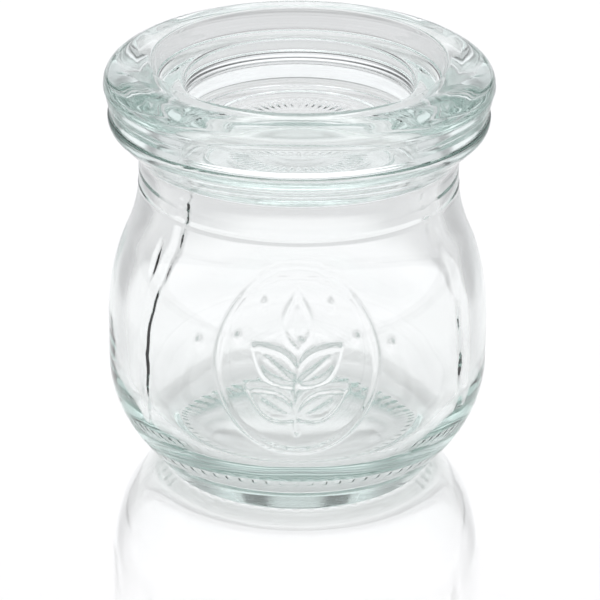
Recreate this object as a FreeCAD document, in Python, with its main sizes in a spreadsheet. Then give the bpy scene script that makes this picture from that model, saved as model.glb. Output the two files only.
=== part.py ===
import FreeCAD, Part
import math
import os
import Sketcher

# Small tulip jar of clear pressed glass with a loose glass lid.
# Both pieces are bodies of revolution about Z: each body's section is one closed
# sketch, a chain of straight lines with a rounding at every named corner.
# Units are millimetres.  Z = 0 is the plane the foot stands on.

SIZES = [
    ("jar_height", 56.5, "foot to the top of the rim"),
    ("belly_radius", 28.8, "widest part of the jar"),
    ("neck_radius", 23.9, "narrow neck under the rim"),
    ("rim_radius", 28.4, "outside of the rim"),
    ("foot_radius", 20.7, "where the heel cone would meet the ground"),
    ("belly_wall", 2.9, "glass thickness at the belly"),
    ("neck_wall", 3.0, "glass thickness at the neck"),
    ("base_thickness", 4.2, "glass above the ground at the middle of the foot"),
    ("heel_height", 10.6, "where the heel cone would meet the belly"),
    ("inner_heel_rise", 1.5, "inner heel corner above the outer one"),
    ("inner_foot_inset", 1.1, "inner floor corner inside the outer one"),
    ("heel_share", 0.464, "part of the heel cone that its outer rounding takes"),
    ("inner_heel_share", 0.52, "part of the inner cone that its upper rounding takes"),
    ("inner_floor_share", 0.29, "part of the inner cone that its lower rounding takes"),
    ("shoulder_drop", 26.0, "belly corner of the shoulder below the rim top"),
    ("neck_drop", 14.7, "neck corner of the shoulder below the rim top"),
    ("shoulder_share", 0.52, "part of the shoulder slope in the convex rounding"),
    ("neck_share", 0.41, "part of the shoulder slope in the hollow rounding"),
    ("inner_shift", 0.6, "inner shoulder corners below the outer ones"),
    ("rim_side", 1.45, "upright side of the rim"),
    ("rim_slope", 4.55, "height of the sloping underside of the rim"),
    ("root_round", 2.5, "hollow rounding under the rim"),
    ("rim_round", 2.0, "rounding of the rim's lower edge"),
    ("rim_edge_round", 0.45, "rounding of the rim's upper edge"),
    ("mouth_round", 1.0, "rounding of the mouth's inner edge"),
    ("foot_round", 1.2, "outer rounding of the foot"),
    ("kick_depth", 0.8, "hollow under the base"),
    ("standing_ring", 3.1, "foot beyond the flat of the hollow under the base"),
    ("kick_slope", 0.7, "width of the slope round that hollow"),
    ("kick_round", 0.45, "roundings of that slope"),
    ("knurl_count", 56, "grooves across the ring the jar stands on"),
    ("knurl_width", 0.8, "width of one groove"),
    ("knurl_depth", 0.35, "depth of one groove"),
    ("knurl_inset", 1.6, "inner end of a groove inside the foot radius"),
    ("knurl_over", 1.1, "outer end of a groove beyond the foot radius"),
    ("plug_depth", 5.35, "plug below the seat of the lid"),
    ("plug_clearance", 1.0, "gap round the plug's lower edge in the mouth"),
    ("plug_taper", 0.3, "plug wider by this much at the seat"),
    ("plug_round", 1.2, "rounding of the plug's lower edge"),
    ("seat_root_round", 0.8, "hollow rounding between plug and seat"),
    ("seat_inset", 0.4, "outer edge of the seat inside the rim"),
    ("seat_round", 0.5, "rounding of that edge"),
    ("lid_over", 0.8, "corner of the lid's side and shoulder beyond the rim"),
    ("lid_side", 5.45, "height of the lid's side above the seat"),
    ("ring_height", 7.8, "top of the raised ring above the seat"),
    ("shoulder_width", 3.0, "lid's shoulder, from its side to the flat top"),
    ("ring_over", 1.9, "inner edge of the raised ring beyond the plug"),
    ("ring_share", 0.57, "part of the shoulder in its upper rounding"),
    ("side_share", 0.4, "part of the shoulder in its lower rounding"),
    ("ring_round", 0.6, "rounding of the raised ring's inner edge"),
    ("step_over", 1.0, "outer edge of the step beyond the plug"),
    ("step_height", 4.6, "step above the seat"),
    ("step_round", 1.2, "hollow rounding of the step"),
    ("well_wall", 2.8, "plug beyond the upper edge of the sunken well"),
    ("well_round", 0.9, "rounding of that edge"),
    ("well_draft", 0.2, "well narrower by this much at its floor"),
    ("well_floor", 2.75, "glass under the well's floor"),
    ("well_floor_round", 1.6, "hollow rounding round the well's floor"),
    ("bead_inset", 3.8, "raised bead inside the edge of the well"),
    ("bead_width", 0.8, "foot of the bead"),
    ("bead_top", 0.3, "flat top of the bead"),
    ("bead_height", 0.3, "height of the bead"),
]

doc = FreeCAD.newDocument("TulipJar")
sheet = doc.addObject("Spreadsheet::Sheet", "Sizes")
sheet.set("A1", "size")
sheet.set("B1", "value")
sheet.set("C1", "meaning")
for row, (alias, number, meaning) in enumerate(SIZES, start=2):
    sheet.set(f"A{row}", alias)
    sheet.set(f"B{row}", str(number))
    sheet.set(f"C{row}", meaning)
    sheet.setAlias(f"B{row}", alias)
doc.recompute()


def plane(body, role):
    """The body's own origin plane or axis with that role."""
    for feature in body.Origin.OriginFeatures:
        if feature.Role == role:
            return feature
    raise RuntimeError(f"{body.Name} has no {role}")


def number(formula):
    """The present value of a formula on the sheet's sizes."""
    result = doc.getObject("Sizes").evalExpression(formula.replace("Sizes.", ""))
    return float(getattr(result, "Value", result))


def bind(sketch, index, formula):
    """Let a formula on the sheet drive one of the sketch's dimensions."""
    sketch.setExpression(f"Constraints[{index}]", formula)


def section(body, name, corners):
    """One closed section: lines through the corners, with an arc at each rounded one.

    A corner is (r, z, kind, size).  r or z of None puts it on the axis or on the
    ground line.  kind is None for a sharp corner, "radius" for an arc of that
    radius, and "reach" for an arc that starts that far from the corner.
    """
    sketch = body.newObject("Sketcher::SketchObject", name)
    sketch.AttachmentSupport = [(plane(body, "XZ_Plane"), "")]
    sketch.MapMode = "FlatFace"
    doc.recompute()

    spots = []
    for r, z, kind, size in corners:
        spots.append(FreeCAD.Vector(number(r) if r else 0.0, number(z) if z else 0.0, 0.0))
    count = len(corners)

    # Where each straight line leaves and reaches its corners.
    starts = []
    ends = []
    for i, (r, z, kind, size) in enumerate(corners):
        before = (spots[i - 1] - spots[i]).normalize()
        after = (spots[(i + 1) % count] - spots[i]).normalize()
        reach = 0.0
        if kind:
            half_turn = (math.pi - before.getAngle(after)) / 2.0
            reach = number(size)
            if kind == "radius":
                reach = reach * math.tan(half_turn)
        ends.append(spots[i] + before * reach)
        starts.append(spots[i] + after * reach)

    lines = []
    for i in range(count):
        start = starts[i]
        end = ends[(i + 1) % count]
        lines.append(sketch.addGeometry(Part.LineSegment(start, end), False))

    for i, (r, z, kind, size) in enumerate(corners):
        incoming = lines[i - 1]
        outgoing = lines[i]
        if kind:
            dot = sketch.addGeometry(Part.Point(spots[i]), True)
            place(sketch, dot, 1, r, z)
            sketch.addConstraint(Sketcher.Constraint("PointOnObject", dot, 1, incoming))
            sketch.addConstraint(Sketcher.Constraint("PointOnObject", dot, 1, outgoing))
            arc, first, last = rounding(sketch, spots[i], ends[i], starts[i])
            sketch.addConstraint(Sketcher.Constraint("Tangent", incoming, 2, arc, first))
            sketch.addConstraint(Sketcher.Constraint("Tangent", outgoing, 1, arc, last))
            if kind == "radius":
                rule = Sketcher.Constraint("Radius", arc, number(size))
            else:
                rule = Sketcher.Constraint("Distance", dot, 1, outgoing, 1, number(size))
            bind(sketch, sketch.addConstraint(rule), size)
        else:
            sketch.addConstraint(Sketcher.Constraint("Coincident", incoming, 2, outgoing, 1))
            place(sketch, outgoing, 1, r, z)
    doc.recompute()
    return sketch


def place(sketch, item, end, r, z):
    """Hold one point at its radius and height."""
    if r:
        rule = Sketcher.Constraint("DistanceX", -1, 1, item, end, number(r))
        bind(sketch, sketch.addConstraint(rule), r)
    else:
        sketch.addConstraint(Sketcher.Constraint("PointOnObject", item, end, -2))
    if z:
        rule = Sketcher.Constraint("DistanceY", -1, 1, item, end, number(z))
        bind(sketch, sketch.addConstraint(rule), z)
    else:
        sketch.addConstraint(Sketcher.Constraint("PointOnObject", item, end, -1))


def rounding(sketch, corner, start, end):
    """The arc that meets both lines of a corner square on, and which end is which."""
    chord = (start + end) * 0.5
    away = chord - corner
    reach = (start - corner).Length
    half = (end - start).Length / 2.0
    # Similar right triangles give the radius and the centre from the reach.
    radius = reach * half / away.Length
    centre = corner + away * ((reach * reach) / (away.Length * away.Length))
    first = math.atan2(start.y - centre.y, start.x - centre.x)
    last = math.atan2(end.y - centre.y, end.x - centre.x)
    ordered = (last - first) % (2.0 * math.pi) < math.pi
    low, high = (first, last) if ordered else (last, first)
    if high < low:
        high += 2.0 * math.pi
    circle = Part.Circle(centre, FreeCAD.Vector(0, 0, 1), radius)
    index = sketch.addGeometry(Part.ArcOfCircle(circle, low, high), False)
    return (index, 1, 2) if ordered else (index, 2, 1)


def lathe(body, sketch, name):
    """Turn a section once round the body's Z axis."""
    turn = body.newObject("PartDesign::Revolution", name)
    turn.Profile = sketch
    turn.ReferenceAxis = (sketch, ["V_Axis"])
    turn.Angle = 360.0
    body.Tip = turn
    doc.recompute()
    return turn


# ---------------------------------------------------------------- the jar
jar = doc.addObject("PartDesign::Body", "Jar")
jar.Label = "jar"

SLOPE = (
    "sqrt((Sizes.belly_radius - Sizes.neck_radius)^2"
    " + (Sizes.shoulder_drop - Sizes.neck_drop)^2)"
)
HEEL = "sqrt((Sizes.belly_radius - Sizes.foot_radius)^2 + Sizes.heel_height^2)"
INNER_HEEL = (
    "sqrt((Sizes.belly_radius - Sizes.belly_wall - Sizes.foot_radius"
    " + Sizes.inner_foot_inset)^2"
    " + (Sizes.heel_height + Sizes.inner_heel_rise - Sizes.base_thickness)^2)"
)

MOUTH = "Sizes.neck_radius - Sizes.neck_wall"
KICK = "Sizes.foot_radius - Sizes.standing_ring"
RIM_OUT = "(Sizes.rim_radius - Sizes.neck_radius)"
# The rounding under the rim may take this much of the rim's upright side.
RIM_ROOM = (
    f"0.95 * (Sizes.rim_side - Sizes.rim_edge_round) * {RIM_OUT}"
    f" / (sqrt({RIM_OUT}^2 + Sizes.rim_slope^2) - Sizes.rim_slope)"
)
KNURL_INNER = "Sizes.foot_radius - Sizes.knurl_inset"
KNURL_OUTER = "Sizes.foot_radius + Sizes.knurl_over"

jar_corners = [
    # underside: shallow hollow, then the ring the jar stands on
    (None, "Sizes.kick_depth", None, None),
    (KICK, "Sizes.kick_depth", "radius", "Sizes.kick_round"),
    (f"{KICK} + Sizes.kick_slope", None, "radius", "Sizes.kick_round"),
    ("Sizes.foot_radius", None, "radius", "Sizes.foot_round"),
    # outside: heel cone, belly, shoulder, neck
    ("Sizes.belly_radius", "Sizes.heel_height", "reach", f"Sizes.heel_share * {HEEL}"),
    (
        "Sizes.belly_radius",
        "Sizes.jar_height - Sizes.shoulder_drop",
        "reach",
        f"Sizes.shoulder_share * {SLOPE}",
    ),
    (
        "Sizes.neck_radius",
        "Sizes.jar_height - Sizes.neck_drop",
        "reach",
        f"Sizes.neck_share * {SLOPE}",
    ),
    # rim: hollow root, sloping underside, upright side, flat top, mouth
    (
        "Sizes.neck_radius",
        "Sizes.jar_height - Sizes.rim_side - Sizes.rim_slope",
        "radius",
        "Sizes.root_round",
    ),
    (
        "Sizes.rim_radius",
        "Sizes.jar_height - Sizes.rim_side",
        "radius",
        f"min(Sizes.rim_round; {RIM_ROOM})",
    ),
    ("Sizes.rim_radius", "Sizes.jar_height", "radius", "Sizes.rim_edge_round"),
    (MOUTH, "Sizes.jar_height", "radius", "Sizes.mouth_round"),
    # inside: neck, shoulder, belly, heel, floor
    (
        MOUTH,
        "Sizes.jar_height - Sizes.neck_drop - Sizes.inner_shift",
        "reach",
        f"Sizes.neck_share * {SLOPE}",
    ),
    (
        "Sizes.belly_radius - Sizes.belly_wall",
        "Sizes.jar_height - Sizes.shoulder_drop - Sizes.inner_shift",
        "reach",
        f"Sizes.shoulder_share * {SLOPE}",
    ),
    (
        "Sizes.belly_radius - Sizes.belly_wall",
        "Sizes.heel_height + Sizes.inner_heel_rise",
        "reach",
        f"Sizes.inner_heel_share * {INNER_HEEL}",
    ),
    (
        "Sizes.foot_radius - Sizes.inner_foot_inset",
        "Sizes.base_thickness",
        "reach",
        f"Sizes.inner_floor_share * {INNER_HEEL}",
    ),
    (None, "Sizes.base_thickness", None, None),
]
jar_section = section(jar, "JarSection", jar_corners)
jar_glass = lathe(jar, jar_section, "JarGlass")

# Knurled foot: one short radial groove across the standing ring, then the ring of them.
groove_sketch = jar.newObject("Sketcher::SketchObject", "GrooveOutline")
groove_sketch.AttachmentSupport = [(plane(jar, "XY_Plane"), "")]
groove_sketch.MapMode = "FlatFace"
low = number("Sizes.knurl_width") / -2.0
high = number("Sizes.knurl_width") / 2.0
near = number(KNURL_INNER)
far = number(KNURL_OUTER)
box = [
    FreeCAD.Vector(near, low, 0),
    FreeCAD.Vector(far, low, 0),
    FreeCAD.Vector(far, high, 0),
    FreeCAD.Vector(near, high, 0),
]
for i in range(4):
    groove_sketch.addGeometry(Part.LineSegment(box[i], box[(i + 1) % 4]), False)
for i in range(4):
    groove_sketch.addConstraint(Sketcher.Constraint("Coincident", i, 2, (i + 1) % 4, 1))
groove_sketch.addConstraint(Sketcher.Constraint("Horizontal", 0))
groove_sketch.addConstraint(Sketcher.Constraint("Horizontal", 2))
groove_sketch.addConstraint(Sketcher.Constraint("Vertical", 3))
groove_sketch.addConstraint(Sketcher.Constraint("Symmetric", 0, 2, 1, 2, -1))
rule = Sketcher.Constraint("DistanceX", -1, 1, 3, 2, near)
bind(groove_sketch, groove_sketch.addConstraint(rule), KNURL_INNER)
rule = Sketcher.Constraint("DistanceX", -1, 1, 1, 1, far)
bind(groove_sketch, groove_sketch.addConstraint(rule), KNURL_OUTER)
rule = Sketcher.Constraint("DistanceY", 1, 1, 1, 2, high - low)
bind(groove_sketch, groove_sketch.addConstraint(rule), "Sizes.knurl_width")
doc.recompute()

groove = jar.newObject("PartDesign::Pocket", "FootGroove")
groove.Profile = groove_sketch
groove.Length = number("Sizes.knurl_depth")
groove.setExpression("Length", "Sizes.knurl_depth")
groove.Reversed = True
jar.Tip = groove
doc.recompute()

knurl = jar.newObject("PartDesign::PolarPattern", "FootKnurl")
knurl.Originals = [groove]
knurl.Axis = (plane(jar, "Z_Axis"), [""])
knurl.Angle = 360.0
knurl.Occurrences = int(number("Sizes.knurl_count"))
knurl.setExpression("Occurrences", "Sizes.knurl_count")
jar.Tip = knurl
doc.recompute()

# ---------------------------------------------------------------- the lid
lid = doc.addObject("PartDesign::Body", "Lid")
lid.Label = "lid"

PLUG = f"{MOUTH} - Sizes.plug_clearance"
LID_EDGE = "Sizes.rim_radius + Sizes.lid_over"
WELL = f"{PLUG} - Sizes.well_wall"
BEAD = f"{WELL} - Sizes.bead_inset"
SHOULDER = "sqrt(Sizes.shoulder_width^2 + (Sizes.ring_height - Sizes.lid_side)^2)"
RING_TOP = "Sizes.plug_depth + Sizes.ring_height"
STEP = "Sizes.plug_depth + Sizes.step_height"

lid_corners = [
    # underside: plug that hangs in the mouth, then the seat that lies on the rim
    (None, None, None, None),
    (PLUG, None, "radius", "Sizes.plug_round"),
    (f"{PLUG} + Sizes.plug_taper", "Sizes.plug_depth", "radius", "Sizes.seat_root_round"),
    ("Sizes.rim_radius - Sizes.seat_inset", "Sizes.plug_depth", "radius", "Sizes.seat_round"),
    # outside: flaring side, rounded shoulder, flat top of the raised ring
    (
        LID_EDGE,
        "Sizes.plug_depth + Sizes.lid_side",
        "reach",
        f"Sizes.side_share * {SHOULDER}",
    ),
    (f"{LID_EDGE} - Sizes.shoulder_width", RING_TOP, "reach", f"Sizes.ring_share * {SHOULDER}"),
    (f"{PLUG} + Sizes.ring_over", RING_TOP, "radius", "Sizes.ring_round"),
    # inside: step, sunken well, bead on its floor
    (f"{PLUG} + Sizes.step_over", STEP, "radius", "Sizes.step_round"),
    (WELL, STEP, "radius", "Sizes.well_round"),
    (f"{WELL} - Sizes.well_draft", "Sizes.well_floor", "radius", "Sizes.well_floor_round"),
    (f"{BEAD} + Sizes.bead_width / 2", "Sizes.well_floor", None, None),
    (f"{BEAD} + Sizes.bead_top / 2", "Sizes.well_floor + Sizes.bead_height", None, None),
    (f"{BEAD} - Sizes.bead_top / 2", "Sizes.well_floor + Sizes.bead_height", None, None),
    (f"{BEAD} - Sizes.bead_width / 2", "Sizes.well_floor", None, None),
    (None, "Sizes.well_floor", None, None),
]
lid_section = section(lid, "LidSection", lid_corners)
lid_glass = lathe(lid, lid_section, "LidGlass")
lid.Placement = FreeCAD.Placement(
    FreeCAD.Vector(0, 0, number("Sizes.jar_height - Sizes.plug_depth")), FreeCAD.Rotation()
)
lid.setExpression("Placement.Base.z", "Sizes.jar_height - Sizes.plug_depth")
doc.recompute()

# ---------------------------------------------------------------- checks and files
for item in doc.Objects:
    if "Invalid" in item.State or "Error" in item.State:
        raise RuntimeError(f"{item.Label} failed: {item.State}")
for sketch in (jar_section, lid_section, groove_sketch):
    if sketch.solve() != 0 or sketch.FullyConstrained is False:
        raise RuntimeError(f"{sketch.Name} is not fully constrained")
if not jar_glass.Shape.Volume > knurl.Shape.Volume:
    raise RuntimeError("the foot's grooves cut nothing")

os.makedirs("parts", exist_ok=True)
for body in (jar, lid):
    shape = body.Shape
    if shape.isNull() or not shape.isValid() or len(shape.Solids) != 1:
        raise RuntimeError(f"{body.Label} is not one valid solid")
    shape.exportStep(f"parts/{body.Label}.step")
    bounds = shape.BoundBox
    print(
        f"{body.Label}: volume {shape.Volume / 1000:.2f} cm3,"
        f" {bounds.XLength:.2f} x {bounds.YLength:.2f} x {bounds.ZLength:.2f} mm,"
        f" z {bounds.ZMin:.2f} to {bounds.ZMax:.2f}"
    )
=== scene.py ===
import math

import bpy
from mathutils import Matrix, Vector


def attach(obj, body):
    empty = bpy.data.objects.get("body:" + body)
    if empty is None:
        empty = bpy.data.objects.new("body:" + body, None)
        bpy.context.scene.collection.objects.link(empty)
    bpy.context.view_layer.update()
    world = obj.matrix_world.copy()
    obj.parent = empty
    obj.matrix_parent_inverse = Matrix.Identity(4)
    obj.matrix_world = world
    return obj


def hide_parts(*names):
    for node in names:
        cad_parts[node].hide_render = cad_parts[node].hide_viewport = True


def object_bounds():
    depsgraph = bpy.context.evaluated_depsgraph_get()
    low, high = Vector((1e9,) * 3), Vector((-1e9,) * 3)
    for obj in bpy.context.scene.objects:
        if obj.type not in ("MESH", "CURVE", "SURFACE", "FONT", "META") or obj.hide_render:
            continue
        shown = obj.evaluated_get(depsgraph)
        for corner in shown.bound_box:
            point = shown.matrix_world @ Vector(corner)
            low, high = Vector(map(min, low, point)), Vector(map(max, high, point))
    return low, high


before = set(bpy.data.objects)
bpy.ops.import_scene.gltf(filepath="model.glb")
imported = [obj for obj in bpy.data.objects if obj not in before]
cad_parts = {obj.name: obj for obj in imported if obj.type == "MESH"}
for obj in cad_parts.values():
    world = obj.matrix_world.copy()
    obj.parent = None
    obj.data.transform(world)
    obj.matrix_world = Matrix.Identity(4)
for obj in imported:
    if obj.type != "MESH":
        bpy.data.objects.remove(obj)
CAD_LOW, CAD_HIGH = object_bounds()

bl_info = {
    "name": "Tulip jar",
    "version": (1, 0, 0),
    "blender": (4, 5, 0),
    "location": "3D View > Sidebar > Tulip Jar",
    "description": "A small tulip jar of clear pressed glass with a loose glass lid",
    "category": "Object",
}

MM = 0.001
TOP = CAD_HIGH.z
MOST_TRIANGLES = 200_000  # a piece stays under this


def length(name, about, value):
    """A size in metres, given here in millimetres."""
    return bpy.props.FloatProperty(
        name=name, description=about, default=value * MM, min=0.0, unit="LENGTH", precision=5
    )


def amount(name, about, value, top=1.0):
    """A plain number from 0 to a top."""
    return bpy.props.FloatProperty(name=name, description=about, default=value, min=0.0, max=top)


def colour(name, about, value):
    """A colour in linear red, green and blue."""
    return bpy.props.FloatVectorProperty(
        name=name, description=about, default=value, size=3, min=0.0, max=1.0, subtype="COLOR"
    )


def number(name, about, value):
    """How many times something repeats round the axis."""
    return bpy.props.IntProperty(name=name, description=about, default=value, min=3)


class JarSizes(bpy.types.PropertyGroup):
    height: length("Height", "Foot to the top of the rim", 56.5)
    belly: length("Belly radius", "Widest part of the jar", 28.8)
    neck: length("Neck radius", "Narrow neck under the rim", 23.9)
    rim: length("Rim radius", "Outside of the rim", 28.4)
    foot: length("Foot radius", "Where the heel meets the ground", 20.7)
    wall: length("Belly wall", "Glass at the belly", 2.9)
    neck_wall: length("Neck wall", "Glass at the neck", 3.0)
    base: length("Base", "Glass under the floor", 4.2)
    heel: length("Heel height", "Where the heel would meet the belly", 10.6)
    heel_share: amount("Heel share", "Part of the heel in its rounding", 0.464)
    foot_round: length("Foot rounding", "Outer rounding of the foot", 1.2)
    shoulder: length("Shoulder drop", "Belly corner below the rim", 26.0)
    shoulder_share: amount("Shoulder share", "Part of the slope in the shoulder's rounding", 0.52)
    throat: length("Neck drop", "Neck corner below the rim", 14.7)
    throat_share: amount("Neck share", "Part of the slope in the neck's rounding", 0.41)
    rim_side: length("Rim side", "Upright side of the rim", 1.45)
    rim_slope: length("Rim slope", "Sloping underside of the rim", 4.55)
    root_round: length("Rim root", "Hollow rounding under the rim", 2.5)
    rim_round: length("Rim rounding", "Rounding of the rim's lower edge", 2.0)
    rim_edge: length("Rim edge", "Rounding of the rim's upper edge", 0.45)
    mouth_round: length("Mouth rounding", "Rounding of the mouth's edge", 1.0)
    inner_shift: length("Inner shift", "Inside's shoulder below the outer one", 0.6)
    inner_foot: length("Inner foot", "Inside's foot corner inside the outer one", 1.1)
    inner_rise: length("Inner rise", "Inside's heel corner above the outer one", 1.5)
    bowl_rise: length("Bowl rise", "That corner higher still, for a rounder inside", 0.7)
    bowl_inset: length("Bowl inset", "The foot corner further in, for a rounder inside", 0.6)
    bowl_heel: amount("Bowl heel", "Part of the inner heel in its upper rounding", 0.44)
    bowl_floor: amount("Bowl floor", "Part of the inner heel in its lower rounding", 0.56)
    kick: length("Kick depth", "Hollow under the base", 0.8)
    kick_radius: length("Kick radius", "Outer edge of that hollow", 17.6)
    kick_slope: length("Kick slope", "From that edge to the standing ring", 1.3)
    kick_round: length("Kick rounding", "Inner rounding of the standing ring", 0.8)
    kick_bend: length("Kick bend", "Half the length of the hollow's soft bend", 7.0)
    knurls: number("Knurls", "Grooves round the standing ring", 56)
    knurl_depth: length("Knurl depth", "Depth of one groove", 0.35)
    knurl_inner: length("Knurl start", "Inner end of a groove", 18.8)
    knurl_outer: length("Knurl end", "Outer end of a groove", 20.7)
    knurl_half: length("Knurl width", "Half the width of one groove", 0.62)
    knurl_ends: length("Knurl ends", "Length over which a groove runs out", 0.3)
    parting: length("Parting line", "Height of the ring line under the neck", 45.0)


class LidSizes(bpy.types.PropertyGroup):
    seat: length("Seat height", "Where the lid lies on the rim", 56.5)
    lift: length("Lift", "Gap that keeps the lid's glass apart from the rim's", 0.03)
    plug_depth: length("Plug depth", "Plug below the seat", 5.35)
    plug: length("Plug radius", "Outside of the plug", 19.9)
    plug_taper: length("Plug taper", "Plug wider by this much at the seat", 0.3)
    plug_round: length("Plug rounding", "Rounding of the plug's lower edge", 1.2)
    seat_edge: length("Seat radius", "Outer edge of the seat", 28.0)
    seat_root: length("Seat root", "Hollow rounding between plug and seat", 0.8)
    seat_round: length("Seat rounding", "Rounding of the seat's outer edge", 0.5)
    edge: length("Lid radius", "Where side and shoulder meet", 29.2)
    side: length("Side height", "Side above the seat", 5.45)
    side_share: amount("Side share", "Part of the shoulder in its lower rounding", 0.4)
    side_line: length("Side line", "Ring line on the side, above the seat", 4.1)
    ring: length("Ring height", "Top of the ring above the seat", 7.8)
    ring_share: amount("Ring share", "Part of the shoulder in its upper rounding", 0.57)
    ring_outer: length("Ring outer", "Flat top meets the shoulder", 26.2)
    ring_inner: length("Ring inner", "Inner edge of the ring", 21.8)
    ring_round: length("Ring rounding", "Rounding of the ring's inner edge", 0.4)
    step: length("Step height", "Step above the seat", 4.6)
    step_outer: length("Step radius", "Outer edge of the step", 20.9)
    step_round: length("Step rounding", "Hollow rounding round the step", 0.7)
    well: length("Well radius", "Upper edge of the well", 17.1)
    well_round: length("Well rounding", "Rounding of the well's upper edge", 0.5)
    well_draft: length("Well draft", "Well narrower by this much at its floor", 0.2)
    well_foot: length("Well foot", "Hollow rounding round the well's floor", 1.1)
    well_floor: length("Well floor", "Glass under the well", 2.75)
    bead: length("Bead radius", "Raised bead on the well's floor", 13.3)
    bead_foot: length("Bead foot", "Half the width of the bead's foot", 0.4)
    bead_crest: length("Bead crest", "Half the width of the bead's top", 0.15)
    bead_height: length("Bead height", "Height of the bead", 0.3)
    bead_root: length("Bead root", "Hollow rounding of the bead's foot", 0.15)
    bead_round: length("Bead rounding", "Rounding of the bead's top", 0.1)
    ribs: number("Ribs", "Fine ribs round the middle of the well's floor", 48)
    rib_height: length("Rib height", "Height of the ribs", 0.10)
    turning: length("Turning marks", "Depth of the fine rings left by the mould", 0.008)


class GlassLook(bpy.types.PropertyGroup):
    tint: colour("Tint", "Colour that thick glass takes on", (0.70, 0.79, 0.765))
    density: amount("Density", "How fast the jar takes on the tint, per metre", 36.0, 1000.0)
    lid_density: amount("Lid density", "The same for the lid, per metre", 28.0, 1000.0)
    bend: amount("Refraction", "Index of refraction", 1.52, 3.0)
    ripple: length("Ripple", "Unevenness of the inner wall", 0.16)
    relief: length("Relief", "Height of the moulded ornament", 0.34)
    streak: length("Streak", "Height of the flow lines on the inner wall", 0.20)


class StageLook(bpy.types.PropertyGroup):
    paper: colour("Paper", "Colour of the floor", (1.0, 1.0, 1.0))
    sheen: amount("Sheen", "How much the floor mirrors", 0.45)


# ------------------------------------------------------------------ modelling


def done(result, what):
    """Raise an error where a modelling step was cancelled."""
    if "FINISHED" not in result:
        raise RuntimeError(f"{what} could not be finished")


def nothing_selected():
    """Leave edit mode and deselect everything."""
    if bpy.context.object and bpy.context.object.mode != "OBJECT":
        bpy.ops.object.mode_set(mode="OBJECT")
    bpy.ops.object.select_all(action="DESELECT")


SHORTEST = 1e-7  # a line between two roundings that is shorter is left out, in metres


def rounded(corners):
    """Points along a chain of corners (r, z, kind, size, span), in metres.

    kind "radius" rounds a corner with that radius and "reach" starts the arc that far
    from the corner.  span is the longest step on that arc and on the line after it.
    """
    flat = [Vector((c[0], c[1])) for c in corners]
    points = []
    gap = None
    for i, (*_, kind, size, span) in enumerate(corners):
        here = flat[i]
        start = end = here
        if kind:
            back = (flat[i - 1] - here).normalized()
            onward = (flat[i + 1] - here).normalized()
            reach = size
            if kind == "radius":
                reach = size * math.tan((math.pi - back.angle(onward)) / 2)
            start = here + back * reach
            end = here + onward * reach
        if points:
            first = points[-1]
            run = start - first
            pieces = max(1, round(run.length / gap))
            if run.length > SHORTEST:
                points += [first + run * (k / pieces) for k in range(1, pieces + 1)]
        else:
            points.append(start)
        gap = span * MM
        if kind:
            chord = (start + end) / 2 - here
            centre = here + chord * (reach * reach / chord.length_squared)
            turn = (start - centre).angle_signed(end - centre)
            arc = abs(turn) * (start - centre).length
            pieces = max(4, math.ceil(arc / gap))
            for k in range(1, pieces + 1):
                spin = Matrix.Rotation(-turn * k / pieces, 2)
                points.append(centre + spin @ (start - centre))
    return points


RIDGE_HALF = 0.12  # half the width of a parting line, in mm
RIDGE_HIGH = 0.07  # its height, in mm


def parting_line(points, height, side):
    """A fine ridge round the outside, where two parts of the mould met."""
    nearest = min((p for p in points if p.x > side), key=lambda p: abs(p.y - height))
    i = points.index(nearest)
    along = (points[i + 1] - points[i - 1]).normalized()
    out = Vector((along.y, -along.x))
    low = nearest - along * RIDGE_HALF * MM
    high = nearest + along * RIDGE_HALF * MM
    return points[:i] + [low, nearest + out * RIDGE_HIGH * MM, high] + points[i + 1 :]


def turning_marks(points, depth):
    """Fine uneven rings, as a turned mould leaves them; the ends on the axis stay put."""
    marked = [points[0]]
    run = 0
    for before, here, after in zip(points, points[1:], points[2:]):
        run += (here - before).length / MM
        along = (after - before).normalized()
        wave = math.sin(run * 3.1) + math.sin(run * 1.7 + 1) + 0.3 * math.sin(run * 6.1 + 2)
        marked.append(here + Vector((along.y, -along.x)) * wave * depth / 2)
    return marked + [points[-1]]


MERGE = 0.002  # points closer than this become one, in mm


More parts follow.
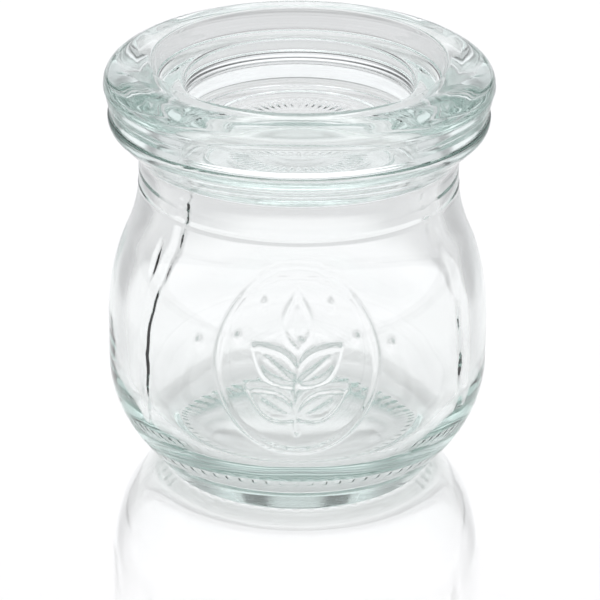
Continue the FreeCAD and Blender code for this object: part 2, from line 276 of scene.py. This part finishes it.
def lathe(name, points, zones):
    """Extrude a profile point by point, spin it into wedges and join them to one body.

    A zone is where its first wedge starts, a wedge's angle, its steps, and how many such
    wedges follow, in degrees from +X round by the back.  The front has the finest steps.
    """
    nothing_selected()
    bpy.ops.mesh.primitive_plane_add(size=1.0, location=(0, 0, 0))
    profile = bpy.context.object
    bpy.ops.object.mode_set(mode="EDIT")
    bpy.ops.mesh.select_all(action="SELECT")
    bpy.ops.mesh.merge(type="CENTER")
    bpy.ops.transform.translate(value=(points[0].x, 0, points[0].y))
    for a, b in zip(points, points[1:]):
        step = (b.x - a.x, 0, b.y - a.y)
        bpy.ops.mesh.extrude_region_move(TRANSFORM_OT_translate={"value": step})
    bpy.ops.object.mode_set(mode="OBJECT")

    wedges = []
    for start, angle, steps, copies in zones:
        nothing_selected()
        wedge = copy_of(profile)
        bpy.ops.object.mode_set(mode="EDIT")
        bpy.ops.mesh.select_all(action="SELECT")
        turned = bpy.ops.mesh.spin(
            steps=steps, angle=-math.radians(angle), center=(0, 0, 0), axis=(0, 0, 1)
        )
        done(turned, f"the turning of {name}")
        bpy.ops.object.mode_set(mode="OBJECT")
        for k in range(copies):
            piece = wedge if k == copies - 1 else copy_of(wedge)
            piece.data.transform(Matrix.Rotation(math.radians(start + k * angle), 4, "Z"))
            wedges.append(piece)
    nothing_selected()
    for piece in wedges:
        piece.select_set(True)
    bpy.context.view_layer.objects.active = wedges[0]
    if len(wedges) > 1:
        done(bpy.ops.object.join(), f"the joining of {name}")
    body = bpy.context.object
    bpy.data.objects.remove(profile)
    body.name = body.data.name = name
    bpy.ops.object.mode_set(mode="EDIT")
    bpy.ops.mesh.select_all(action="SELECT")
    bpy.ops.mesh.remove_doubles(threshold=MERGE * MM)
    bpy.ops.mesh.normals_make_consistent(inside=False)
    bpy.ops.object.mode_set(mode="OBJECT")
    bpy.ops.object.shade_smooth()
    return body


def copy_of(source):
    """A copy with its own mesh, selected and active."""
    nothing_selected()
    source.select_set(True)
    bpy.context.view_layer.objects.active = source
    done(bpy.ops.object.duplicate(linked=False), f"the copy of {source.name}")
    return bpy.context.object


def weigh(body, group, weights):
    """Fill a vertex group from a dict of vertex index to weight."""
    made = body.vertex_groups.new(name=group)
    for index, weight in weights.items():
        made.add([index], weight, "REPLACE")


def press(body, group, height, cloud_size=None):
    """Displace a vertex group along its normals, evenly or by soft noise, and apply it."""
    wave = body.modifiers.new(group, "DISPLACE")
    wave.vertex_group = group
    wave.strength = height
    wave.mid_level = 0.0
    cloud = None
    if cloud_size:
        cloud = bpy.data.textures.new(group, "CLOUDS")
        cloud.noise_scale = cloud_size
        cloud.noise_depth = 1
        wave.texture = cloud
        wave.texture_coords = "LOCAL"
        wave.mid_level = 0.5
    bpy.context.view_layer.objects.active = body
    done(bpy.ops.object.modifier_apply(modifier=wave.name), f"{group} on {body.name}")
    if cloud:
        bpy.data.textures.remove(cloud)


def keep(body, node, material):
    """Check a finished piece's triangles, give it its material, hide the CAD node it takes the
    place of, and hang it under the root.
    """
    triangles = sum(len(face.vertices) - 2 for face in body.data.polygons)
    if not 0 < triangles < MOST_TRIANGLES:
        raise RuntimeError(f"{body.name} has {triangles} triangles")
    body.data.materials.clear()
    body.data.materials.append(material)
    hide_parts(node)
    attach(body, "root")


# ------------------------------------------------------------------ materials


RAMP_SOFT = 0.12  # half the width of a ramp's soft step, as a share of its edge


class Wire:
    """A socket that does arithmetic by adding nodes."""

    def __init__(self, tree, socket):
        self.tree = tree
        self.socket = socket

    def math(self, operation, *others):
        return self.tree.add("ShaderNodeMath", {"operation": operation}, [self, *others])

    def __add__(self, other):
        return self.math("ADD", other)

    def __radd__(self, other):
        return self.math("ADD", other)

    def __sub__(self, other):
        return self.math("SUBTRACT", other)

    def __rsub__(self, other):
        return self.tree.add("ShaderNodeMath", {"operation": "SUBTRACT"}, [other, self])

    def __mul__(self, other):
        return self.math("MULTIPLY", other)

    def __rmul__(self, other):
        return self.math("MULTIPLY", other)

    def __truediv__(self, other):
        return self.math("DIVIDE", other)

    def __rtruediv__(self, other):
        return self.tree.add("ShaderNodeMath", {"operation": "DIVIDE"}, [other, self])

    def __abs__(self):
        return self.math("ABSOLUTE")

    def at_least(self, other):
        return self.math("MAXIMUM", other)

    def below(self, edge, soft):
        """1 well under the edge, 0 well over it, with a soft step between."""
        settings = {"interpolation_type": "SMOOTHSTEP", "clamp": True}
        values = {"Value": self, "From Min": edge - soft, "From Max": edge + soft}
        values |= {"To Min": 1.0, "To Max": 0.0}
        return self.tree.add("ShaderNodeMapRange", settings, values)

    def above(self, edge, soft):
        """0 well under the edge, 1 well over it, with a soft step between."""
        return 1 - self.below(edge, soft)

    def between(self, low, high, soft):
        """1 from one edge to the other, 0 outside, with soft steps."""
        return self.above(low, soft) * self.below(high, soft)

    def ramp(self, level, *steps):
        """A level that changes softly to the next one at each (edge, level)."""
        total = level
        for edge, after in steps:
            total = self.above(edge, RAMP_SOFT * edge) * (after - level) + total
            level = after
        return total


class Tree:
    """A node tree that is written as expressions."""

    def __init__(self, nodes_of):
        self.tree = nodes_of
        self.tree.nodes.clear()

    def add(self, kind, settings=None, values=None, out=0):
        """A new node with its settings, then its sockets' values or wires."""
        node = self.tree.nodes.new(kind)
        for key, value in (settings or {}).items():
            setattr(node, key, value)
        pairs = values.items() if isinstance(values, dict) else enumerate(values or [])
        for key, value in pairs:
            if isinstance(value, Wire):
                self.tree.links.new(value.socket, node.inputs[key])
            else:
                node.inputs[key].default_value = value
        return Wire(self, node.outputs[out])

    def finish(self, kind, **links):
        """The output node, which nothing follows."""
        node = self.tree.nodes.new(kind)
        for key, wire in links.items():
            self.tree.links.new(wire.socket, node.inputs[key])


LAMPLIGHT = (0.93, 0.95, 0.94, 1.0)  # what a wall of glass lets through of a lamp's light


def clear_glass(name, look, density):
    """Clear glass that takes on its tint where it is thick and lets lamplight through."""
    material = bpy.data.materials.new(name)
    material.use_nodes = True
    t = Tree(material.node_tree)
    values = {"Roughness": 0.0, "IOR": look.bend, "Transmission Weight": 1.0}
    values["Base Color"] = (1.0, 1.0, 1.0, 1.0)
    glass = t.add("ShaderNodeBsdfPrincipled", None, values)
    through = t.add("ShaderNodeBsdfTransparent", None, {"Color": LAMPLIGHT})
    lamp = t.add("ShaderNodeLightPath", out="Is Shadow Ray")
    surface = t.add("ShaderNodeMixShader", None, [lamp, glass, through])
    depth = {"Color": (*look.tint, 1.0), "Density": density}
    inner = t.add("ShaderNodeVolumeAbsorption", None, depth)
    t.finish("ShaderNodeOutputMaterial", Surface=surface, Volume=inner)
    return material


# ------------------------------------------------------------------ the pieces


def soft(distance, half):
    """1 on a line, falling smoothly to 0 at half its width."""
    off = min(abs(distance) / half, 1)
    return (1 - off * off) ** 2


# The moulded ornament on the front, in mm: u goes round the belly and v up from MIDDLE.
MIDDLE = 27.8  # height of the oval's middle above the ground
OVAL_WIDE, OVAL_HIGH = 12.0, 13.6  # half the oval's width and height
OVAL_MEAN = 12.6  # turns a share of the oval into mm
OVAL_LINE = 0.70  # half the width of the oval's raised line
OVAL_ROOM = 0.92  # the sprig keeps within this share of the oval
STEM_LOW, STEM_HIGH, STEM_LINE = -11, 4, 0.55  # ends of the stem and half its width
STEM_SWAY = 0.5  # how far the stem leans from side to side
SEED_LINE, SEED_TALL = 0.9, 0.8  # radius of a raised bead, and its upright stretch
# Of each leaf or pair: height of its stalk, lean in degrees, length, half its width.
SPRIG = ((-8.0, 58, 8.2, 2.1), (-2.6, 50, 8.2, 2.2), (2.6, 0, 7.6, 2.1))
SEEDS = ((-15.1, 1.9), (14.4, 1.9), (-5.2, 8.6), (5.2, 8.6), (-8.9, 3.6), (8.9, 3.6))


def ornament(u, z):
    """Height of the ornament at u, z mm on the front, from 0 to 1: an oval with a sprig."""
    v = z - MIDDLE
    rho = math.hypot(u / OVAL_WIDE, v / OVAL_HIGH)
    best = soft((rho - 1) * OVAL_MEAN, OVAL_LINE)
    if rho < OVAL_ROOM:
        if STEM_LOW < v < STEM_HIGH:
            best = max(best, soft(u - STEM_SWAY * math.sin(v * 0.3), STEM_LINE))
        for along, lean, size, width in SPRIG:
            for hand in (-1, 1) if lean else (1,):
                best = max(best, leaf(u, v - along, hand * lean, size, width))
    for bead_u, bead_v in SEEDS:
        off = math.hypot(u - bead_u, (v - bead_v) * SEED_TALL)
        best = max(best, soft(off, SEED_LINE))
    return best


LEAF_LINE, LEAF_RIB = 0.55, 0.45  # half the width of a leaf's outline and midrib, in mm
RIB_HIGH, RIB_ENDS = 0.7, 0.75  # height of the midrib, and the share of the leaf it runs
LEAF_HIGH = 0.2  # height of the leaf inside its outline
LEAF_ROOM = 0.3  # the outline reaches this far past the leaf's ends, in mm


def leaf(u, v, lean, size, width):
    """A leaf's raised outline and midrib, from its stalk at 0, 0, leaning by lean degrees."""
    turn = math.radians(lean)
    along = u * math.sin(turn) + v * math.cos(turn)
    side = u * math.cos(turn) - v * math.sin(turn)
    if not -LEAF_ROOM < along < size + LEAF_ROOM:
        return 0
    run = min(max(along / size, 0), 1)
    edge = width * math.sin(math.pi * run**0.85) ** 0.9
    line = soft(abs(side) - edge, LEAF_LINE)
    rib = RIB_HIGH * soft(side, LEAF_RIB) if run < RIB_ENDS else 0
    body = LEAF_HIGH if abs(side) < edge else 0
    return max(line, rib, body)


def flow_line(side, z):
    """Uneven upright flow lines left in the glass on both sides of the front.

    side is the bearing from the front in degrees and z the height in mm.  Two long lines
    lean inwards above the belly, and a short one stands beside the left one.
    """
    wobble = 0.7 * math.sin(z * 1.3) + 0.5 * math.sin(z * 3.1 + 1) + 0.4 * math.sin(z * 6.3)
    left = -55 + max(0, z - 30) * 0.45 + wobble * 0.6
    right = 63 - max(0, z - 34) * 0.5 + wobble
    short = -59 + wobble * 0.5
    low = min(max((z - 12) / 10, 0), 1)
    patchy = 0.75 + 0.25 * math.sin(z * 0.9 + 2)
    wide = 2.4 + 1.3 * min(max((z - 25) / 20, 0), 1)
    middle = soft(z - 36.5, 5)
    return low * max(
        soft(side - left, wide),
        0.7 * patchy * soft(side - right, wide * 1.7),
        0.8 * middle * soft(side - short, 2.0),
    )


# The jar's wedges: round the back, then the front's left side, its middle and its right.
JAR_ZONES = ((340, 20, 14, 11), (200, 37, 41, 1), (237, 33, 66, 2), (303, 37, 41, 1))
LID_ZONES = ((0, 20, 22, 18),)

# Where the jar's glass is uneven.  A face looks out at OUTWARD and more, in under INWARD.
OUTWARD, INWARD = 0.3, 0.1
NEAR_AXIS = 1 * MM  # closer to the axis nothing is shaped
OFF_FLOOR = 0.05 * MM  # the inside is uneven from here above its floor
OFF_RIM = 2 * MM  # and up to here below the rim's top
FADE_IN = 4 * MM  # height over which that sets in
OFF_WALL = 0.2 * MM  # the inner wall is found within this of its radius
FIELD_LOW, FIELD_HIGH, FIELD_SIDE = 8 * MM, 45 * MM, 33  # the ornament's, with degrees
KNURL_TOP = 2.2 * MM  # the grooves are cut below this height
CLOUD, FINE_CLOUD = 13 * MM, 4 * MM  # sizes of the inner wall's large and small waves
FINE_SHARE = 0.12  # height of the small waves, as a share of the large ones
FAINT = 0.01  # relief under this share of its height is left out


class GLASSWARE_OT_jar(bpy.types.Operator):
    """Turn the jar: foot, heel, belly, neck, rim and the hollow inside"""

    bl_idname = "glassware.jar"
    bl_label = "Jar"

    def execute(self, context):
        s = context.scene.jar_sizes
        look = context.scene.glass_look
        slope = math.hypot(s.belly - s.neck, s.shoulder - s.throat)
        heel = math.hypot(s.belly - s.foot, s.heel)
        inner = s.belly - s.wall
        bore = s.neck - s.neck_wall
        floor = s.foot - s.inner_foot
        inner_heel = math.hypot(inner - floor, s.heel + s.inner_rise - s.base)
        throat = s.height - s.throat
        shoulder = s.height - s.shoulder
        rim = s.height - s.rim_side
        bowl = s.heel + s.inner_rise + s.bowl_rise
        corners = [
            # the dished hollow and the standing ring
            (0, s.kick, None, 0, 3.0),
            (s.kick_radius / 2, s.kick, "reach", s.kick_bend, 1.5),
            (s.kick_radius + s.kick_slope, 0, "radius", s.kick_round, 0.3),
            (s.foot, 0, "radius", s.foot_round, 0.3),
            # outside: heel, belly, shoulder, neck
            (s.belly, s.heel, "reach", s.heel_share * heel, 0.46),
            (s.belly, shoulder, "reach", s.shoulder_share * slope, 0.42),
            (s.neck, throat, "reach", s.throat_share * slope, 0.9),
            # the rim and the mouth
            (s.neck, rim - s.rim_slope, "radius", s.root_round, 0.6),
            (s.rim, rim, "radius", s.rim_round, 0.4),
            (s.rim, s.height, "radius", s.rim_edge, 0.3),
            (bore, s.height, "radius", s.mouth_round, 0.4),
            # inside: neck, shoulder, heel, floor
            (bore, throat - s.inner_shift, "reach", s.throat_share * slope, 1.1),
            (inner, shoulder - s.inner_shift, "reach", s.shoulder_share * slope, 1.2),
            (inner, bowl, "reach", s.bowl_heel * inner_heel, 1.1),
            (floor - s.bowl_inset, s.base, "reach", s.bowl_floor * inner_heel, 1.0),
            (0, s.base, None, 0, 2.5),
        ]
        points = parting_line(rounded(corners), s.parting, s.neck)
        jar = lathe("Jar", points, JAR_ZONES)

        inside, flow, relief, knurl = {}, {}, {}, {}
        for v in jar.data.vertices:
            x, y, z = v.co
            across = math.hypot(x, y)
            if across < NEAR_AXIS:
                continue
            facing = (v.normal.x * x + v.normal.y * y) / across
            side = math.degrees(math.atan2(x, -y))
            if s.base + OFF_FLOOR < z < s.height - OFF_RIM and facing < INWARD:
                if across < inner + OFF_WALL:
                    depth = min((z - s.base) / FADE_IN, (s.height - OFF_RIM - z) / FADE_IN, 1)
                    inside[v.index] = max(depth, 0)
                    line = flow_line(side, z / MM)
                    if line > FAINT:
                        flow[v.index] = line * max(depth, 0)
            elif facing > OUTWARD and FIELD_LOW < z < FIELD_HIGH and abs(side) < FIELD_SIDE:
                height = ornament(math.radians(side) * s.belly / MM, z / MM)
                if height > FAINT:
                    relief[v.index] = height
            if z < KNURL_TOP and s.knurl_inner < across < s.knurl_outer:
                turn = math.atan2(y, x) / math.tau * s.knurls
                pitch = math.tau * across / s.knurls
                groove = soft((turn - round(turn)) * pitch, s.knurl_half)
                ends = min(across - s.knurl_inner, s.knurl_outer - across) / s.knurl_ends
                knurl[v.index] = groove * min(1, ends)
        weigh(jar, "inside", inside)
        weigh(jar, "fine", inside)
        weigh(jar, "flow", flow)
        weigh(jar, "relief", relief)
        weigh(jar, "knurl", knurl)
        press(jar, "inside", look.ripple, CLOUD)
        press(jar, "fine", look.ripple * FINE_SHARE, FINE_CLOUD)
        press(jar, "flow", look.streak)
        press(jar, "relief", look.relief)
        press(jar, "knurl", -s.knurl_depth)
        keep(jar, "jar", clear_glass("Clear glass", look, look.density))
        return {"FINISHED"}


# The fine ribs in the lid's well, in mm from the axis.
RIB_FIELD = 11  # they lie within this
RIB_MIDDLE, RIB_BAND = 8.2, 1.7  # middle and half the length of the ribs
RIB_HALF = 0.34  # half the width of a rib, as a share of their spacing
HOOP, HOOP_HALF = 10.2, 0.5  # radius and half the width of the hoop round them
RIB_LAYER = 0.5  # height above the well's floor within which they are found
UPWARD = 0.3  # a face looks up where its normal's height is over this


class GLASSWARE_OT_lid(bpy.types.Operator):
    """Turn the lid: plug, seat, rounded ring, step and sunken well"""

    bl_idname = "glassware.lid"
    bl_label = "Lid"

    def execute(self, context):
        s = context.scene.lid_sizes
        look = context.scene.glass_look
        seat = s.seat + s.lift
        under = s.seat - s.plug_depth
        shoulder = math.hypot(s.edge - s.ring_outer, s.ring - s.side)
        ring = s.seat + s.ring
        step = s.seat + s.step
        floor = under + s.well_floor
        crest = floor + s.bead_height
        corners = [
            # underside: plug and seat
            (0, under, None, 0, 2.5),
            (s.plug, under, "radius", s.plug_round, 0.3),
            (s.plug + s.plug_taper, seat, "radius", s.seat_root, 0.35),
            (s.seat_edge, seat, "radius", s.seat_round, 0.3),
            # outside: side, shoulder and the flat top of the ring
            (s.edge, s.seat + s.side, "reach", s.side_share * shoulder, 0.22),
            (s.ring_outer, ring, "reach", s.ring_share * shoulder, 0.22),
            (s.ring_inner, ring, "radius", s.ring_round, 0.22),
            # inside: step, well and the bead on its floor
            (s.step_outer, step, "radius", s.step_round, 0.25),
            (s.well, step, "radius", s.well_round, 0.25),
            (s.well - s.well_draft, floor, "radius", s.well_foot, 0.3),
            (s.bead + s.bead_foot, floor, "radius", s.bead_root, 0.15),
            (s.bead + s.bead_crest, crest, "radius", s.bead_round, 0.15),
            (s.bead - s.bead_crest, crest, "radius", s.bead_round, 0.15),
            (s.bead - s.bead_foot, floor, "radius", s.bead_root, 0.4),
            (0, floor, None, 0, 1.5),
        ]
        points = turning_marks(rounded(corners), s.turning)
        points = parting_line(points, s.seat + s.side_line, s.seat_edge)
        lid = lathe("Lid", points, LID_ZONES)
        ribs = {}
        for v in lid.data.vertices:
            x, y, z = v.co
            across = math.hypot(x, y)
            low_enough = z < floor + RIB_LAYER * MM
            if v.normal.z > UPWARD and low_enough and across < RIB_FIELD * MM:
                turn = math.atan2(y, x) / math.tau * s.ribs
                rib = soft(turn - round(turn), RIB_HALF)
                band = soft(across / MM - RIB_MIDDLE, RIB_BAND)
                hoop = soft(across / MM - HOOP, HOOP_HALF)
                height = max(rib * min(1, band * 2), hoop)
                if height > FAINT:
                    ribs[v.index] = height
        weigh(lid, "ribs", ribs)
        press(lid, "ribs", s.rib_height)
        keep(lid, "lid", clear_glass("Lid glass", look, look.lid_density))
        return {"FINISHED"}


# ------------------------------------------------------------------ the stage

BOUNCES = 24  # how many faces of glass light may pass, and how often it may turn back

# The floor, in levels where 1 is white.
FLOOR_SIZE = 6.0
FLOOR_LEVEL = 1.03  # what the floor shows the camera
BACKDROP = 1.28  # what the floor mirrors
GLOW_SHARE = 0.65  # part of the floor under the gloss that glows; the rest is matt
MATT_LEVEL = 0.29  # what the matt part adds
OTHER_SHEEN = 0.22  # how much the floor mirrors for light that isn't the camera's
IMAGE_EDGE, IMAGE_SOFT = -0.038, 0.020  # y where the mirror image fades to the front
IMAGE_LEFT = 0.20  # what is left of it there
IMAGE_DROP = 0.18  # the backdrop's fall there
GLOSS_ROUGH = 0.03  # roughness of the mirror image
TO_SIDE, TO_FRONT, TURN_SOFT = 60, 120, 8  # bearings where the glow changes, in degrees
# The floor's glow round the jar, a painted pool of light seen in the glass, lower within 26 mm as
# a painted shadow under the jar. Each gives its first level, then (distance in mm, next level).
GLOW_BEHIND = (0.75, (12, 0.50), (19, 0.68), (26, 1.00), (100, 0.48), (240, 0.60))
GLOW_BESIDE = (0.75, (12, 0.50), (19, 0.68), (26, 1.15), (55, 0.88), (100, 1.15))
GLOW_BEFORE = (0.75, (12, 0.50), (19, 0.68), (26, 1.05), (55, 1.40), (100, 1.50))

# The studio's walls from the floor up: the first level, then (bearing, next level).  A
# bearing is in degrees, 0 behind the jar and 180 behind the camera.
WALL_LOW = (0.85, (50, 0.95), (75, 1.30), (140, 1.25))
WALL_MIDDLE = (1.14, (25, 0.75), (50, 0.80), (78, 1.5), (98, 1.0))
WALL_HIGH = (0.75, (25, 1.10), (50, 0.90), (75, 0.85))
CEILING = (0.77, (90, 1.00))
PANEL_LEVEL = 1.4  # of the bright panel overhead, on the camera's side
FLAG_DEPTH, DARKEST = 0.9, 0.05  # how much the dark flags take away, and what is left
WALL_LEVEL = 1.12  # of all the walls together
DULL_DROP = 0.4  # the walls' fall for matt surfaces
COOL = (0.985, 0.975, 1.0, 1.0)  # tint of the walls, seen in the glass alone

# Of each lamp: name, place, size and power.
LAMPS = (
    ("Left softbox", (-0.55, -0.15, 0.40), 0.5, 0.12),
    ("Right softbox", (0.60, -0.05, 0.40), 0.45, 0.10),
    ("Top softbox", (0.0, 0.15, 0.75), 0.6, 0.15),
)

# The camera: lens and film in mm, distances and aim in metres, the rest in degrees.
LENS, FILM = 189.1, 36.0
NEAREST, FARTHEST = 0.01, 20.0
DISTANCE = 0.480
AIM = (0.00034, 0, 0.02505)
TILT, ROLL = 25.0, 0.45


class GLASSWARE_OT_stage(bpy.types.Operator):
    """Lay the glossy white floor, hang the lamps and set up the camera"""

    bl_idname = "glassware.stage"
    bl_label = "Stage"

    def execute(self, context):
        look = context.scene.stage_look
        self.floor(look)
        self.sky()
        self.lamps()
        self.camera(context)
        context.scene.view_settings.view_transform = "Standard"
        context.scene.cycles.max_bounces = BOUNCES
        context.scene.cycles.transmission_bounces = BOUNCES
        context.scene.cycles.glossy_bounces = BOUNCES
        context.scene.cycles.transparent_max_bounces = BOUNCES
        return {"FINISHED"}

    def floor(self, look):
        """White acrylic: even for the camera, and for the glass a soft painted pool of light with
        a painted shadow under the jar.
        """
        nothing_selected()
        bpy.ops.mesh.primitive_plane_add(size=FLOOR_SIZE, location=(0, 0, 0))
        floor = bpy.context.object
        floor.name = "Floor"
        material = bpy.data.materials.new("White acrylic")
        material.use_nodes = True
        t = Tree(material.node_tree)
        place = t.add("ShaderNodeTexCoord", out="Object")
        x, y = (t.add("ShaderNodeSeparateXYZ", None, [place], out=k) for k in range(2))
        far = t.add("ShaderNodeVectorMath", {"operation": "LENGTH"}, [place], out="Value")
        seen = t.add("ShaderNodeLightPath", out="Is Camera Ray")
        # The mirror image fades towards the front, and the glow makes up for it.
        image = y.above(IMAGE_EDGE, IMAGE_SOFT) * (1 - IMAGE_LEFT) + IMAGE_LEFT
        sheen = image * (seen * look.sheen + (1 - seen) * OTHER_SHEEN)
        bearing = abs(x.math("ARCTAN2", y)) * (180 / math.pi)
        far = far * 1000  # in mm
        # Painted light for the glass: the glow round the jar, with a painted shadow under it.
        behind = far.ramp(*GLOW_BEHIND)
        beside = far.ramp(*GLOW_BESIDE)
        before = far.ramp(*GLOW_BEFORE)
        level = bearing.above(TO_SIDE, TURN_SOFT) * (beside - behind) + behind
        level = bearing.above(TO_FRONT, TURN_SOFT) * (before - beside) + level
        facing = BACKDROP - y.below(IMAGE_EDGE, IMAGE_SOFT) * IMAGE_DROP
        paper = ((FLOOR_LEVEL - facing * sheen) / (1 - sheen) - MATT_LEVEL) / GLOW_SHARE
        level = (seen * paper + (1 - seen) * level).at_least(0.0)
        white = (*look.paper, 1.0)
        matt = t.add("ShaderNodeBsdfDiffuse", None, {"Color": white})
        glow = t.add("ShaderNodeEmission", None, {"Color": white, "Strength": level})
        gloss = t.add("ShaderNodeBsdfGlossy", None, {"Color": white, "Roughness": GLOSS_ROUGH})
        ground = t.add("ShaderNodeMixShader", None, [GLOW_SHARE, matt, glow])
        both = t.add("ShaderNodeMixShader", None, [sheen, ground, gloss])
        t.finish("ShaderNodeOutputMaterial", Surface=both)
        floor.data.materials.append(material)

    def sky(self):
        """Plain white for the camera, and a studio's walls, panel and flags for the glass."""
        world = bpy.data.worlds.new("Studio")
        bpy.context.scene.world = world
        world.use_nodes = True
        t = Tree(world.node_tree)
        way = t.add("ShaderNodeTexCoord", out="Generated")
        x, y, z = (t.add("ShaderNodeSeparateXYZ", None, [way], out=k) for k in range(3))
        bearing = abs(x.math("ARCTAN2", y)) * (180 / math.pi)
        low = bearing.ramp(*WALL_LOW)
        middle = bearing.ramp(*WALL_MIDDLE)
        high = bearing.ramp(*WALL_HIGH)
        top = bearing.ramp(*CEILING)
        # Heights are sines: 0 is level with the jar and 1 is straight overhead.
        level = z.above(0.2, 0.06) * (middle - low) + low
        level = z.above(0.5, 0.03) * (high - middle) + level
        level = z.above(0.75, 0.03) * (top - high) + level
        panel = bearing.above(110, 20) * z.above(0.78, 0.03) * z.below(0.97, 0.02)
        # Dark flags: a strip high behind, a band all round, two uprights and the horizon.
        flags = z.between(0.54, 0.62, 0.015) * bearing.below(80, 3)
        flags = z.between(0.71, 0.76, 0.015) * 0.5 + flags
        flags = bearing.between(30, 42, 4) * z.below(0.55, 0.02) * 0.4 + flags
        flags = z.below(0.05, 0.01) * 0.7 + flags
        shade = (1 - flags * FLAG_DEPTH).at_least(DARKEST)
        level = (panel * PANEL_LEVEL + level) * shade * WALL_LEVEL
        seen = t.add("ShaderNodeLightPath", out="Is Camera Ray")
        dull = t.add("ShaderNodeLightPath", out="Is Diffuse Ray")
        level = seen + (1 - seen) * level * (1 - dull * DULL_DROP)
        colours = {0: seen, 6: COOL, 7: (1.0, 1.0, 1.0, 1.0)}  # factor, A and B
        cool = t.add("ShaderNodeMix", {"data_type": "RGBA"}, colours, out=2)
        surface = t.add("ShaderNodeBackground", None, {"Color": cool, "Strength": level})
        t.finish("ShaderNodeOutputWorld", Surface=surface)

    def lamps(self):
        """Three soft lamps that look at the middle of the jar."""
        for name, place, size, power in LAMPS:
            lamp = bpy.data.lights.new(name, "AREA")
            lamp.size = size
            lamp.energy = power
            spot = bpy.data.objects.new(name, lamp)
            spot.location = place
            aim = Vector((0, 0, TOP / 2)) - Vector(place)
            spot.rotation_euler = aim.to_track_quat("-Z", "Y").to_euler()
            bpy.context.scene.collection.objects.link(spot)

    def camera(self, context):
        """A long lens that looks down on the front of the jar."""
        data = bpy.data.cameras.new("Camera")
        data.lens = LENS
        data.sensor_width = FILM
        camera = bpy.data.objects.new("Camera", data)
        context.scene.collection.objects.link(camera)
        context.scene.camera = camera
        tilt = math.radians(TILT)
        roll = math.radians(ROLL)
        ahead = Vector((0, math.cos(tilt), -math.sin(tilt)))
        right = Vector((1, 0, 0))
        up = right.cross(ahead)
        across = right * math.cos(roll) + up * math.sin(roll)
        above = up * math.cos(roll) - right * math.sin(roll)
        place = Vector(AIM) - ahead * DISTANCE
        turn = Matrix((across, above, -ahead)).transposed().to_4x4()
        camera.matrix_world = Matrix.Translation(place) @ turn
        data.clip_start = NEAREST
        data.clip_end = FARTHEST


# ------------------------------------------------------------------ the add-on


class GLASSWARE_PT_panel(bpy.types.Panel):
    """The steps that build the jar, and its sizes and looks"""

    bl_idname = "GLASSWARE_PT_panel"
    bl_label = "Tulip jar"
    bl_space_type = "VIEW_3D"
    bl_region_type = "UI"
    bl_category = "Tulip Jar"

    def draw(self, context):
        for operator in OPERATORS:
            self.layout.operator(operator.bl_idname)
        for group, holder in GROUPS.items():
            box = self.layout.box()
            box.label(text=holder.__name__)
            for field in holder.__annotations__:
                box.prop(getattr(context.scene, group), field)


OPERATORS = (GLASSWARE_OT_jar, GLASSWARE_OT_lid, GLASSWARE_OT_stage)
GROUPS = {
    "jar_sizes": JarSizes,
    "lid_sizes": LidSizes,
    "glass_look": GlassLook,
    "stage_look": StageLook,
}


def register():
    for group, holder in GROUPS.items():
        bpy.utils.register_class(holder)
        setattr(bpy.types.Scene, group, bpy.props.PointerProperty(type=holder))
    for made in (*OPERATORS, GLASSWARE_PT_panel):
        bpy.utils.register_class(made)


def unregister():
    for made in (GLASSWARE_PT_panel, *reversed(OPERATORS)):
        bpy.utils.unregister_class(made)
    for group, holder in reversed(GROUPS.items()):
        delattr(bpy.types.Scene, group)
        bpy.utils.unregister_class(holder)


def main():
    register()
    bpy.ops.glassware.jar()
    bpy.ops.glassware.lid()
    bpy.ops.glassware.stage()


if __name__ == "__main__":
    main()
